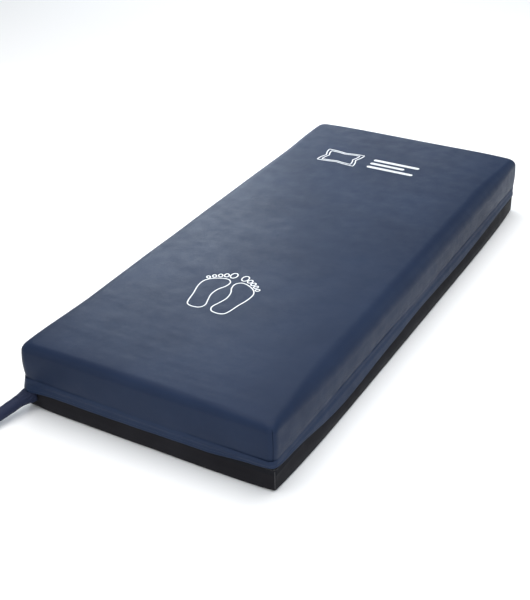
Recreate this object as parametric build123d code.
from build123d import *
import math
import os

"""Alternating pressure relief mattress: a zipped cover over twenty transverse air cells
on a foam base, with the air lines, the quick-release valve and the hose to the pump.

Frame, in millimetres: +X across the bed, +Y towards the head, +Z up. The origin is the
centre of the underside. "Left" is -X, the side with the valve, the zip's end and the hose.
Offsets called "out" are measured outwards from the base cover's side wall.
"""

# ---- driving dimensions ------------------------------------------------------------
WIDTH = 914.0
LENGTH = 2032.0
HEIGHT = 240.0
COVER_BOTTOM = 98.0
COVER_TOP_RADIUS = 45.0
COVER_PLAN_RADIUS = 45.0
COVER_LIP_RADIUS = 1.0
FABRIC = 1.5

SIDE_INSET = 11.0
BASE_X = WIDTH / 2 - SIDE_INSET
BASE_Y = LENGTH / 2 - SIDE_INSET
BASE_PLAN_RADIUS = 10.0
BASE_TOP = 78.0
GAP = 0.4

PANEL_THICKNESS = 1.5
PANEL_SIZE = (700.0, 420.0)
PANEL_PITCH = 620.0
STRAP_SIZE = (860.0, 40.0)
STRAP_Z = (0.2, 1.4)

FOAM_TOP = 77.0
FOAM_CLEARANCE = 0.2
HOSE_POCKET_X = -402.0
HOSE_POCKET_LOW = 20.0
VALVE_POCKET_X = -388.0
VALVE_POCKET_HALF = 28.0
LINE_POCKET_X = 402.0
GROOVE_LOW = 62.0
FOOT_GROOVE_Y = (-998.0, -980.0)
RISER_B_Y = -940.0
RISER_VALVE = 45.0
GROOVE_HALF = 8.0

SHEET_Z = (77.3, 78.1)
SHEET_HALF_X = 430.0
SHEET_Y = (-963.0, 996.0)

CELL_COUNT = 20
STATIC_CELLS = 3
CELL_PITCH = 100.0
CELL_LENGTH = 900.0
CELL_WIDTH = 98.0
CELL_BOTTOM = 79.3
CELL_TOP = 238.0
CELL_EDGE = 32.0
CELL_END_LOW = 55.0
CELL_END_TOP = 45.0
CELL_END_PLAN = 36.0
CELL_WALL = 1.0

HOSE_OUT = 4.5
HOSE_IN = 2.9
BARB = 2.85
BARB_BORE = 1.8
BARB_LENGTH = 9.0
TEE_BODY = 8.0
LINE_X = 438.0
LINE_Z = 85.5
PORT_Y = 22.0
TEE_ARM = 14.0
CHECK_VALVE_RADIUS = 6.0
CHECK_VALVE_Y = (22.0, 40.0)
PORT_X = (412.0, 432.5)
TAB_X = (386.0, 430.0)
TAB_HALF = 11.0
TAB_THICKNESS = 0.8
TAB_GAP = 0.1
STUD_Y = -5.0
STUD_X = 420.0
STUD_SHANK = 2.45
STUD_HOLE = 2.5
STUD_CAP = 5.5
STUD_HEIGHT = 3.0

VALVE_Y = 700.0
VALVE_Z = 26.0
VALVE_X = (-444.4, -398.0)
VALVE_HALF_Y = 24.0
VALVE_HALF_Z = 18.0
ROTOR_BORE_END = -410.0
ROTOR_X = (-442.0, -412.0)
ROTOR_RADIUS = 10.0
ROTOR_PORT_X = -425.0
ROTOR_PORT = 3.0
SPINDLE_END = -453.0
SPINDLE_RADIUS = 4.0
WALL_HOLE = 12.0
FACEPLATE = 3.0
FACEPLATE_RADIUS = 22.0
KNOB_FACE = -457.0
KNOB_RADIUS = 17.0
KNOB_STEP = -452.5
KNOB_FLAT = (4.0, 20.0)
RUNNING = 0.05
NIPPLE_A = (-LINE_X, VALVE_Y)
NIPPLE_B = (-412.0, VALVE_Y + 12.0)
NIPPLE_TOP = 54.0
CROSS_Z = 69.0
UNDER_SHEET = 80.8

ZIP_Z = 80.0
TAPE_LOW = 62.0
WELT_Z = (58.0, 66.0)
TAPE_OUT = (1.4, 1.9)
COIL_OUT = (1.9, 4.1)
COIL_WIDTH = 5.0
TAPE_SLIT = 1.8
ZIP_END_RIGHT = 985.0
SLIDER_Y = 790.0
ZIP_GARAGE = 40.0
SLIDER_HALF = (5.5, 4.75)
LOWER_PLATE = (0.25, 1.15)
UPPER_PLATE = (4.35, 5.45)
PULL_OUT = 6.5
PULL_LENGTH = 27.0
PULL_HALF = 3.5
PULL_THICKNESS = 1.5
BAND_THICKNESS = 1.3
BAND_LOW = 60.0
FLAP_OUT = (9.0, 10.0)
FLAP_PLAN_RADIUS = 25.0
FLAP_SIDE_LOW = 50.0
FLAP_FOOT_LOW = 62.0
FLAP_PAST_SLIDER = 22.0

HOSE_DIAMETER = 40.0
HOSE_ROOT = (-428.0, -BASE_Y, 39.5)
HOSE_HOLE = 13.0
SUPPLY_X = (-435.0, -421.0)
SUPPLY_END = -BASE_Y - 10.0
FLANGE = (34.0, 36.0)
FLANGE_THICKNESS = 2.0
FUNNEL_RADIUS = 12.0
ROUTE = [
    (-433, -1052, 39),
    (-448, -1161, 27),
    (-509, -1267, 20.3),
    (-616, -1329, 20.3),
    (-742, -1327, 20.3),
    (-848, -1263, 20.3),
    (-909, -1157, 20.3),
    (-924, -1048, 20.3),
    (-924, -948, 20.3),
]
ARC_SHARE = 0.45
CUFF_LENGTH = 30.0
CUFF_TIP = (40.0, 22.0)
TAIL_SPACING = 26.0
TAIL_TUBE = (6.0, 4.0)
BODY_BACK = 70.0
BODY_FRONT = 120.0
BODY_HALF_X = 33.0
BODY_HALF_Z = 20.0
BODY_EDGE = 8.0
PLUG_LENGTH = 14.0
SEAL_GROOVE = (8.0, 10.5)
SEAL_INNER = 4.8
CAP_HALF = (22.0, 10.0)
CAP_LENGTH = (0.4, 22.0)
CAP_BORE = 6.3
LATCH_PIN_Y = 96.0
LATCH_PIN_RADIUS = 1.5
LATCH_PIN_DEPTH = 3.2
LATCH_PIN_HALF = 11.0
LATCH_HALF_Z = 8.0
LATCH_Y = (-22.0, 33.0)
LATCH_DEPTH = (1.2, 4.8)
LATCH_HOOK_Y = 28.0
LATCH_HOOK = (4.7, 7.0)
LATCH_SPACE = (-1.0, 9.5)
LATCH_GAP = 0.4

# ---- shared shapes -----------------------------------------------------------------


def block(x, y, z):
    """A box between two x, two y and two z values."""
    size = (x[1] - x[0], y[1] - y[0], z[1] - z[0])
    centre = ((x[0] + x[1]) / 2, (y[0] + y[1]) / 2, (z[0] + z[1]) / 2)
    return Pos(*centre) * Box(*size)


def plate(half_x, half_y, radius, z):
    """An upright slab, rounded at its four corners, centred on the Z axis."""
    outline = RectangleRounded(2 * half_x, 2 * half_y, radius)
    return Pos(0, 0, z[0]) * extrude(outline, amount=z[1] - z[0])


def rod(start, end, radius):
    """A round bar between two points."""
    axis = Vector(*end) - Vector(*start)
    return extrude(Plane(origin=start, z_dir=axis) * Circle(radius), amount=axis.length)


def pipe(start, end, radius, bore):
    return rod(start, end, radius) - rod(start, end, bore)


def bent_pipe(points, radii, radius, bore):
    """A hose whose centre line is straight runs joined by tangent arcs."""
    path = FilletPolyline(*points, radius=radii)
    start = Plane(origin=path @ 0, z_dir=path % 0)
    section = start * (Circle(radius) - Circle(bore))
    return sweep(section, path=path)


def side_ring(out, z, radius):
    """A strip round the base cover's four sides, between two offsets from its wall."""
    outer = plate(BASE_X + out[1], BASE_Y + out[1], radius, z)
    inner = plate(BASE_X + out[0], BASE_Y + out[0], radius - (out[1] - out[0]), z)
    return outer - inner


def open_at_head(ring, left_end, right_end):
    """Keep the strip along the left side, the foot and the right side only."""
    far = LENGTH
    ring -= block((-far, 0), (left_end, far), (-far, far))
    ring -= block((0, far), (right_end, far), (-far, far))
    return ring


def group(pieces):
    """Several separate solids in one node."""
    return Compound(children=[solid for piece in pieces for solid in piece.solids()])


def cell_y(number):
    return (number - (CELL_COUNT + 1) / 2) * CELL_PITCH


def cell_side(number):
    """-1 for a cell fed from the left, +1 for one fed from the right."""
    fed_right = number % 2 == 0 and number <= CELL_COUNT - STATIC_CELLS
    return 1 if fed_right else -1


# ---- underside and base ------------------------------------------------------------


def anti_slip_panels():
    half_x, half_y = PANEL_SIZE[0] / 2, PANEL_SIZE[1] / 2
    panel = plate(half_x, half_y, 20.0, (0, PANEL_THICKNESS))
    return group([Pos(0, k * PANEL_PITCH, 0) * panel for k in (-1, 0, 1)])


def bed_straps():
    half_x, half_y = STRAP_SIZE[0] / 2, STRAP_SIZE[1] / 2
    strap = block((-half_x, half_x), (-half_y, half_y), STRAP_Z)
    return group([Pos(0, k * PANEL_PITCH / 2, 0) * strap for k in (-1, 1)])


def base_cover():
    """The dark tray of coated nylon under and round the foam."""
    inside = (BASE_X - FABRIC, BASE_Y - FABRIC)
    tray = plate(BASE_X, BASE_Y, BASE_PLAN_RADIUS, (PANEL_THICKNESS, BASE_TOP))
    floor = PANEL_THICKNESS + FABRIC
    tray -= plate(*inside, BASE_PLAN_RADIUS - FABRIC, (floor, BASE_TOP + 1))
    x, y, z = HOSE_ROOT
    tray -= rod((x, y - 1, z), (x, y + 2 * FABRIC, z), HOSE_HOLE)
    wall = (-BASE_X - 1, -BASE_X + 2 * FABRIC)
    tray -= rod((wall[0], VALVE_Y, VALVE_Z), (wall[1], VALVE_Y, VALVE_Z), WALL_HOLE)
    return tray


def foam_base():
    """Solid foam with a pocket for the hose, one for the valve and two cross grooves."""
    half_x, half_y = BASE_X - FABRIC - GAP, BASE_Y - FABRIC - GAP
    bottom = PANEL_THICKNESS + FABRIC + FOAM_CLEARANCE
    foam = plate(half_x, half_y, BASE_PLAN_RADIUS - FABRIC - GAP, (bottom, FOAM_TOP))
    above = FOAM_TOP + 1
    left, right = -half_x - 1, half_x + 1
    near_valve = (VALVE_Y - VALVE_POCKET_HALF, VALVE_Y + VALVE_POCKET_HALF)
    cross = NIPPLE_B[1]
    groove = (GROOVE_LOW, above)
    foam -= block((left, HOSE_POCKET_X), (-half_y - 1, -950), (HOSE_POCKET_LOW, above))
    foam -= block((left, VALVE_POCKET_X), near_valve, (-1, above))
    foam -= block((HOSE_POCKET_X - 0.5, right), FOOT_GROOVE_Y, groove)
    foam -= block((LINE_POCKET_X, right), (FOOT_GROOVE_Y[0], RISER_B_Y), groove)
    foam -= block((VALVE_POCKET_X - 1, right), (cross - GROOVE_HALF, cross + GROOVE_HALF), groove)
    foam -= block((LINE_POCKET_X, right), (cross - RISER_VALVE, cross + GROOVE_HALF), groove)
    return foam


def cell_bed_sheet():
    """The sheet on the foam that the cells snap to, cut away over the rising hoses."""
    sheet = block((-SHEET_HALF_X, SHEET_HALF_X), SHEET_Y, SHEET_Z)
    through = (SHEET_Z[0] - 1, SHEET_Z[1] + 1)
    near_valve = (VALVE_Y - VALVE_POCKET_HALF, VALVE_Y + VALVE_POCKET_HALF)
    riser = (NIPPLE_B[1] - RISER_VALVE, NIPPLE_B[1] + GROOVE_HALF)
    sheet -= block((-WIDTH / 2, VALVE_POCKET_X), near_valve, through)
    sheet -= block((LINE_POCKET_X, WIDTH / 2), riser, through)
    return sheet


# ---- air cells ---------------------------------------------------------------------


def cell_form(shrink):
    """A rounded bar, crowned at its ends, with every face moved in by shrink."""
    height = CELL_TOP - CELL_BOTTOM - 2 * shrink
    length = CELL_LENGTH - 2 * shrink
    width = CELL_WIDTH - 2 * shrink
    side = Rectangle(length, height)
    side = fillet(side.vertices().group_by(Axis.Y)[0], CELL_END_LOW - shrink)
    side = fillet(side.vertices().group_by(Axis.Y)[-1], CELL_END_TOP - shrink)
    across = RectangleRounded(width, height, CELL_EDGE - shrink)
    above = RectangleRounded(length, width, CELL_END_PLAN - shrink)
    bar = extrude(Plane.XZ * side, width / 2, both=True)
    bar &= extrude(Plane.YZ * across, length / 2, both=True)
    return bar & extrude(above, height / 2, both=True)


def air_cells():
    middle = (CELL_TOP + CELL_BOTTOM) / 2
    shell = Pos(0, 0, middle) * (cell_form(0) - cell_form(CELL_WALL))
    cells = {}
    for number in range(1, CELL_COUNT + 1):
        side = cell_side(number)
        near, far = side * PORT_X[0], side * WIDTH / 2
        hole = rod((near, PORT_Y, LINE_Z), (far, PORT_Y, LINE_Z), HOSE_OUT)
        cells[f"air_cell_{number:02d}"] = Pos(0, cell_y(number), 0) * (shell - hole)
    return cells


def cell_ports():
    """The short tube welded into each cell's fed end."""
    ports = []
    for number in range(1, CELL_COUNT + 1):
        side, y = cell_side(number), cell_y(number) + PORT_Y
        start, end = (side * PORT_X[0], y, LINE_Z), (side * PORT_X[1], y, LINE_Z)
        ports.append(pipe(start, end, HOSE_OUT, HOSE_IN))
    return group(ports)


def tab_places():
    rows = [cell_y(number) + STUD_Y for number in range(1, CELL_COUNT + 1)]
    return [(side, y) for side in (-1, 1) for y in rows]


def cell_snap_tabs():
    low = SHEET_Z[1] + TAB_GAP
    tab = block(TAB_X, (-TAB_HALF, TAB_HALF), (low, low + TAB_THICKNESS))
    tab -= rod((STUD_X, 0, low - 1), (STUD_X, 0, low + 2), STUD_HOLE)
    flip = {1: tab, -1: mirror(tab, about=Plane.YZ)}
    return group([Pos(0, y, 0) * flip[side] for side, y in tab_places()])


def press_studs():
    """Each stud's cap stands on its tab, and its shank fills the tab's hole."""
    low = SHEET_Z[1] + TAB_GAP
    face = low + TAB_THICKNESS
    shank = rod((0, 0, low), (0, 0, face), STUD_SHANK)
    cap = rod((0, 0, face), (0, 0, low + STUD_HEIGHT), STUD_CAP)
    stud = shank + cap
    return group([Pos(side * STUD_X, y, 0) * stud for side, y in tab_places()])


# ---- air lines ---------------------------------------------------------------------


def fed_by(line):
    """The tee places along one air line, foot to head."""
    static_from = CELL_COUNT - STATIC_CELLS + 1
    numbers = {
        "a": range(1, static_from, 2),
        "b": range(2, static_from, 2),
        "static": range(static_from, CELL_COUNT + 1),
    }[line]
    return [cell_y(number) + PORT_Y for number in numbers]


def tee(place, turn):
    """An inline barbed tee along Y, its third barb pointing along +X before the turn."""
    half = TEE_BODY / 2
    reach = half + BARB_LENGTH
    inline = rod((0, -reach, 0), (0, reach, 0), BARB)
    inline += rod((0, -half, 0), (0, half, 0), HOSE_OUT)
    inline += rod((0, 0, 0), (TEE_ARM, 0, 0), BARB)
    inline -= rod((0, -reach - 1, 0), (0, reach + 1, 0), BARB_BORE)
    inline -= rod((0, 0, 0), (TEE_ARM + 1, 0, 0), BARB_BORE)
    return Pos(place[0], place[1], LINE_Z) * turn * inline


def line_hose(x, tees, start, end):
    """The straight line hose, parted where each tee's body sits."""
    stops = [start]
    for y in tees:
        stops += [y - TEE_BODY / 2, y + TEE_BODY / 2]
    stops.append(end)
    pairs = zip(stops[0::2], stops[1::2])
    return [pipe((x, a, LINE_Z), (x, b, LINE_Z), HOSE_OUT, HOSE_IN) for a, b in pairs if b > a]


def air_lines():
    a, b, static = fed_by("a"), fed_by("b"), fed_by("static")
    half = TEE_BODY / 2
    valve = (VALVE_Y + CHECK_VALVE_Y[0], VALVE_Y + CHECK_VALVE_Y[1])
    nipple = (NIPPLE_TOP - BARB_LENGTH, UNDER_SHEET)
    inward, down, leftward = Rot(0, 0, 0), Rot(0, 90, 0), Rot(0, 0, 180)
    nodes = {}
    nodes["manifold_hose_a"] = group(line_hose(-LINE_X, a, a[0] - half, VALVE_Y - half))
    nodes["tee_connectors_a"] = group(
        [tee((-LINE_X, y), inward) for y in a] + [tee((-LINE_X, VALVE_Y), down)]
    )
    nodes["static_check_valve"] = check_valve(valve)
    nodes["static_hose"] = group(
        line_hose(-LINE_X, [], VALVE_Y + half, valve[0])
        + line_hose(-LINE_X, static, valve[1], static[-1] + half)
    )
    nodes["tee_connectors_static"] = group([tee((-LINE_X, y), inward) for y in static])
    nodes["tee_connectors_b"] = group([tee((LINE_X, y), leftward) for y in b])
    run = line_hose(LINE_X, b, b[0] - half, b[-1] + half)
    nodes["manifold_hose_b"] = group(run + [hose_b_to_valve(b[-1] + half)])
    nodes["valve_hose_a"] = pipe((*NIPPLE_A, nipple[0]), (*NIPPLE_A, nipple[1]), HOSE_OUT, HOSE_IN)
    nodes["supply_hose_a"] = supply_hose_a(a[0] - half)
    nodes["supply_hose_b"] = supply_hose_b(b[0] - half)
    return nodes


def check_valve(y):
    """The one-way valve that keeps the static head cells full."""
    body = rod((0, y[0], 0), (0, y[1], 0), CHECK_VALVE_RADIUS)
    body += rod((0, y[0] - 7, 0), (0, y[1] + BARB_LENGTH, 0), BARB)
    body -= rod((0, y[0] - 2 * BARB_LENGTH, 0), (0, y[1] + 2 * BARB_LENGTH, 0), BARB_BORE)
    return Pos(-LINE_X, 0, LINE_Z) * body


def hose_b_to_valve(start):
    """From the last right-hand cell, down into the cross groove and over to the valve."""
    x, y = NIPPLE_B
    points = [
        (LINE_X, start, LINE_Z),
        (LINE_X, y - 34, LINE_Z),
        (LINE_X - 6, y, CROSS_Z),
        (x, y, CROSS_Z),
        (x, y, NIPPLE_TOP - BARB_LENGTH),
    ]
    return bent_pipe(points, [16, 12, 10], HOSE_OUT, HOSE_IN)


def supply_hose_a(end):
    x, z = SUPPLY_X[0], HOSE_ROOT[2]
    points = [
        (x, SUPPLY_END, z),
        (x, -978, z),
        (-LINE_X, -976, LINE_Z),
        (-LINE_X, end, LINE_Z),
    ]
    return bent_pipe(points, [14, 14], HOSE_OUT, HOSE_IN)


def supply_hose_b(end):
    x, z = SUPPLY_X[1], HOSE_ROOT[2]
    across = sum(FOOT_GROOVE_Y) / 2
    points = [
        (x, SUPPLY_END, z),
        (x, across, z),
        (x + 2, across, CROSS_Z),
        (LINE_X - 22, across, CROSS_Z),
        (LINE_X, -971, LINE_Z),
        (LINE_X, end, LINE_Z),
    ]
    return bent_pipe(points, [10, 10, 14, 14], HOSE_OUT, HOSE_IN)


# ---- quick-release valve -----------------------------------------------------------


def cpr_valve():
    """A rotary valve in the left wall: a quarter turn of the knob empties every cell."""
    y, z = VALVE_Y, VALVE_Z
    top = z + VALVE_HALF_Z
    body = block(VALVE_X, (y - VALVE_HALF_Y, y + VALVE_HALF_Y), (z - VALVE_HALF_Z, top))
    body -= rod((VALVE_X[0] - 1, y, z), (ROTOR_BORE_END, y, z), ROTOR_RADIUS + RUNNING)
    for nipple in (NIPPLE_A, NIPPLE_B):
        body += rod((*nipple, top - 1), (*nipple, NIPPLE_TOP), BARB)
        body -= rod((*nipple, z), (*nipple, NIPPLE_TOP + 1), BARB_BORE)

    wall, face = -BASE_X, -BASE_X - FACEPLATE
    faceplate = rod((face, y, z), (wall, y, z), FACEPLATE_RADIUS)
    faceplate -= rod((face - 1, y, z), (wall + 1, y, z), SPINDLE_RADIUS + RUNNING)

    rotor = rod((ROTOR_X[0], y, z), (ROTOR_X[1], y, z), ROTOR_RADIUS)
    over = ROTOR_RADIUS + 1
    rotor -= rod((ROTOR_PORT_X, y, z - over), (ROTOR_PORT_X, y, z + over), ROTOR_PORT)
    rotor += rod((SPINDLE_END, y, z), (ROTOR_X[0], y, z), SPINDLE_RADIUS)

    knob = rod((KNOB_FACE, y, z), (face - GAP, y, z), KNOB_RADIUS)
    for side in (-1, 1):
        flat = sorted(y + side * far for far in KNOB_FLAT)
        knob -= block((KNOB_FACE - 1, KNOB_STEP), flat, (z - 20, z + 20))
    knob -= rod((SPINDLE_END, y, z), (face, y, z), SPINDLE_RADIUS)
    return {
        "cpr_valve_body": body,
        "cpr_faceplate": faceplate,
        "cpr_rotor": rotor,
        "cpr_knob": knob,
    }


# ---- top cover and zip -------------------------------------------------------------


def cover_form(shrink, low):
    """The puffed cover's outer form, with every face moved in by shrink."""
    z = (low, HEIGHT - shrink)
    form = plate(WIDTH / 2 - shrink, LENGTH / 2 - shrink, COVER_PLAN_RADIUS - shrink, z)
    return fillet(form.edges().group_by(Axis.Z)[-1], COVER_TOP_RADIUS - shrink - 0.5)


def top_cover():
    form = cover_form(0, COVER_BOTTOM)
    form = fillet(form.edges().group_by(Axis.Z)[0], COVER_LIP_RADIUS)
    form -= cover_form(FABRIC, COVER_BOTTOM + FABRIC)
    lip = (BASE_X - FABRIC, BASE_Y - FABRIC)
    form -= plate(*lip, BASE_PLAN_RADIUS, (COVER_BOTTOM - 1, COVER_BOTTOM + FABRIC + 1))
    return form


def zip_parts():
    tape_radius = BASE_PLAN_RADIUS + TAPE_OUT[1]
    coil_radius = BASE_PLAN_RADIUS + COIL_OUT[1]
    slit = TAPE_SLIT / 2
    left_end = SLIDER_Y + ZIP_GARAGE
    upper = side_ring(TAPE_OUT, (ZIP_Z + slit, COVER_BOTTOM), tape_radius)
    lower = side_ring(TAPE_OUT, (TAPE_LOW, ZIP_Z - slit), tape_radius)
    lower += side_ring((0, TAPE_OUT[1]), WELT_Z, tape_radius)
    coil = side_ring(COIL_OUT, (ZIP_Z - COIL_WIDTH / 2, ZIP_Z + COIL_WIDTH / 2), coil_radius)
    return {
        "zip_tape_upper": open_at_head(upper, left_end, ZIP_END_RIGHT),
        "zip_tape_lower": open_at_head(lower, left_end, ZIP_END_RIGHT),
        "zip_coil": open_at_head(coil, SLIDER_Y + 1, ZIP_END_RIGHT),
    }


def zip_flap():
    """The storm flap that hangs over the zip from the cover's lower edge."""
    flap = side_ring(FLAP_OUT, (FLAP_SIDE_LOW, COVER_BOTTOM), FLAP_PLAN_RADIUS)
    foot = (-LENGTH, -BASE_Y + 10)
    flap -= block((-LENGTH, LENGTH), foot, (0, FLAP_FOOT_LOW))
    return open_at_head(flap, SLIDER_Y - FLAP_PAST_SLIDER, ZIP_END_RIGHT)


def head_seam_band():
    """The sewn strip that joins the cover to the base cover where the zip stops."""
    out = (0, BAND_THICKNESS)
    band = side_ring(out, (BAND_LOW, COVER_BOTTOM), BASE_PLAN_RADIUS + BAND_THICKNESS)
    clear = 0.5
    keep = block((-LENGTH, 0), (SLIDER_Y + ZIP_GARAGE + clear, LENGTH), (0, HEIGHT))
    keep += block((0, LENGTH), (ZIP_END_RIGHT + clear, LENGTH), (0, HEIGHT))
    return band & keep


def zip_slider():
    """Upper and lower plates joined by the wedge at the head end, with an arch on top."""
    wall = -BASE_X
    y, z = SLIDER_Y, ZIP_Z
    half_y, half_z = SLIDER_HALF
    along, across = (y - half_y, y + half_y), (z - half_z, z + half_z)
    slider = block((wall - LOWER_PLATE[1], wall - LOWER_PLATE[0]), along, across)
    slider += block((wall - UPPER_PLATE[1], wall - UPPER_PLATE[0]), along, across)
    slider += block((wall - 4.4, wall - 1.1), (y + 2, y + 4.5), (z - 0.7, z + 0.7))
    for side in (-1, 1):
        flange = sorted((z + side * half_z, z + side * (half_z - 0.8)))
        slider += block((wall - 4.4, wall - 2.2), along, flange)
    arch = block((wall - 8.4, wall - 5.4), (y - 3.5, y + 3.5), (z - 1, z + 1))
    arch -= block((wall - 7.5, wall - 5.45), (y - 2.6, y + 2.6), (z - 2, z + 2))
    return slider + arch


def zip_pull():
    """A flat tab whose eye bar turns under the slider's arch."""
    x, y = -BASE_X - PULL_OUT, SLIDER_Y + 1.0
    end = y + PULL_LENGTH
    half = PULL_THICKNESS / 2
    low, high = ZIP_Z - PULL_HALF, ZIP_Z + PULL_HALF
    through = (x - 1, x + 1)
    window = (ZIP_Z - 1.5, ZIP_Z + 1.5)
    tab = block((x - half, x + half), (y, end), (low, high))
    tab -= block(through, (y, y + 5.6), window)
    tab += rod((x, y, low), (x, y, high), half)
    tab += rod((x, end, low), (x, end, high), half)
    tab -= block(through, (end - 9, end - 4), window)
    return tab


# ---- hose to the pump --------------------------------------------------------------


def route_radii():
    """Each arc is as large as its two runs allow."""
    points = [Vector(*point) for point in ROUTE]
    radii = []
    for before, here, after in zip(points, points[1:], points[2:]):
        run_in, run_out = here - before, after - here
        turn = math.radians(run_in.get_angle(run_out))
        shorter = min(run_in.length, run_out.length)
        radii.append(ARC_SHARE * shorter / math.tan(turn / 2))
    return radii


def hose_sleeve():
    radii = route_radii()
    path = FilletPolyline(*ROUTE, radius=radii)
    start = Plane(origin=path @ 0, z_dir=path % 0)
    sleeve = sweep(start * Circle(HOSE_DIAMETER / 2), path=path)
    section = math.pi * HOSE_DIAMETER**2 / 4
    print("sleeve radii", [round(radius) for radius in radii])
    print("sleeve length", round(path.length), "volume ratio", sleeve.volume / section / path.length)
    return sleeve


def hose_boot():
    """The fabric funnel sewn to the foot wall, narrowing to the sleeve."""
    x, y, z = HOSE_ROOT
    half_x, half_z = FLANGE[0] / 2, FLANGE[1] / 2
    face = y - FLANGE_THICKNESS
    flange = block((x - half_x, x + half_x), (face, y), (z - half_z, z + half_z))
    tip = Plane(origin=ROUTE[0], z_dir=Vector(*ROUTE[1]) - Vector(*ROUTE[0]))
    root = Plane(origin=(x, face, z), x_dir=(1, 0, 0), z_dir=(0, -1, 0))
    wide = root * RectangleRounded(*FLANGE, FUNNEL_RADIUS)
    funnel = loft([wide, tip * Circle(HOSE_DIAMETER / 2 + 0.5)])
    straight = rod((x, y + 1, z), (x, face - 35, z), HOSE_HOLE)
    bore = rod((x, y + 1, z), ROUTE[0], HOSE_HOLE) + straight
    return flange + funnel - bore


def hose_end():
    """The cuff, the two tubes that come out of it and the twin push-in connector."""
    x, y, z = ROUTE[-1]
    ports = (x - TAIL_SPACING / 2, x + TAIL_SPACING / 2)
    neck = y + CUFF_LENGTH
    back, front = y + BODY_BACK, y + BODY_FRONT
    tube, bore = TAIL_TUBE

    cuff = Plane(origin=(x, y, z), z_dir=(0, 1, 0)) * Circle(HOSE_DIAMETER / 2)
    tip = Plane(origin=(x, neck, z), x_dir=(1, 0, 0), z_dir=(0, 1, 0)) * SlotOverall(*CUFF_TIP)
    nodes = {"sleeve_cuff": loft([cuff, tip])}
    nodes["tail_tubes"] = group([pipe((px, neck, z), (px, back, z), tube, bore) for px in ports])

    body = block(
        (x - BODY_HALF_X, x + BODY_HALF_X), (back, front), (z - BODY_HALF_Z, z + BODY_HALF_Z)
    )
    body = fillet(body.edges().filter_by(Axis.Y), BODY_EDGE)
    plug = front + PLUG_LENGTH
    groove = (front + SEAL_GROOVE[0], front + SEAL_GROOVE[1])
    seal = (groove[0] + 0.2, groove[1] - 0.2)
    seals = []
    for px in ports:
        body += rod((px, front - 1, z), (px, plug, z), tube)
        body -= pipe((px, groove[0], z), (px, groove[1], z), tube + 0.5, SEAL_INNER)
        body -= rod((px, back - 1, z), (px, plug + 1, z), bore)
        seals.append(pipe((px, seal[0], z), (px, seal[1], z), tube + 0.2, SEAL_INNER))
    for name, side in (("left", -1), ("right", 1)):
        lever, space = latch(x + side * BODY_HALF_X, y + LATCH_PIN_Y, z, side)
        body -= space
        nodes[f"connector_latch_{name}"] = lever
    nodes["connector_body"] = body
    nodes["connector_seals"] = group(seals)

    half_x, half_z = CAP_HALF
    length = (front + CAP_LENGTH[0], front + CAP_LENGTH[1])
    cap = block((x - half_x, x + half_x), length, (z - half_z, z + half_z))
    cap = fillet(cap.edges().filter_by(Axis.Y), BODY_EDGE)
    for px in ports:
        cap -= rod((px, front, z), (px, front + 17, z), CAP_BORE)
    nodes["connector_cap"] = cap
    return nodes


def latch(face, y, z, side):
    """A side lever on an upright pin, and the pocket it rocks in."""

    def inward(depth, along, half_z):
        x = sorted((face - side * depth[0], face - side * depth[1]))
        return block(x, (y + along[0], y + along[1]), (z - half_z, z + half_z))

    pin_x = face - side * LATCH_PIN_DEPTH
    high, gap = LATCH_PIN_HALF, LATCH_GAP
    lever = inward(LATCH_DEPTH, LATCH_Y, LATCH_HALF_Z)
    lever += inward(LATCH_HOOK, (LATCH_HOOK_Y, LATCH_Y[1]), LATCH_HALF_Z)
    lever += rod((pin_x, y, z - high), (pin_x, y, z + high), LATCH_PIN_RADIUS)
    room = (LATCH_Y[0] - 1, LATCH_Y[1] - 3)
    space = inward(LATCH_SPACE, room, LATCH_HALF_Z + gap)
    start, end = (pin_x, y, z - high - gap), (pin_x, y, z + high + gap)
    space += rod(start, end, LATCH_PIN_RADIUS + RUNNING)
    return lever, space


# ---- assembly ----------------------------------------------------------------------


def build():
    nodes = {
        "anti_slip_panels": anti_slip_panels(),
        "bed_straps": bed_straps(),
        "base_cover": base_cover(),
        "foam_base": foam_base(),
        "cell_bed_sheet": cell_bed_sheet(),
        "cell_ports": cell_ports(),
        "cell_snap_tabs": cell_snap_tabs(),
        "press_studs": press_studs(),
        "top_cover": top_cover(),
        "zip_flap": zip_flap(),
        "head_seam_band": head_seam_band(),
        "zip_slider": zip_slider(),
        "zip_pull": zip_pull(),
        "hose_boot": hose_boot(),
        "hose_sleeve": hose_sleeve(),
    }
    for part in (air_cells(), air_lines(), cpr_valve(), zip_parts(), hose_end()):
        nodes.update(part)
    return nodes


os.makedirs("parts", exist_ok=True)
for name, shape in build().items():
    export_step(shape, f"parts/{name}.step")
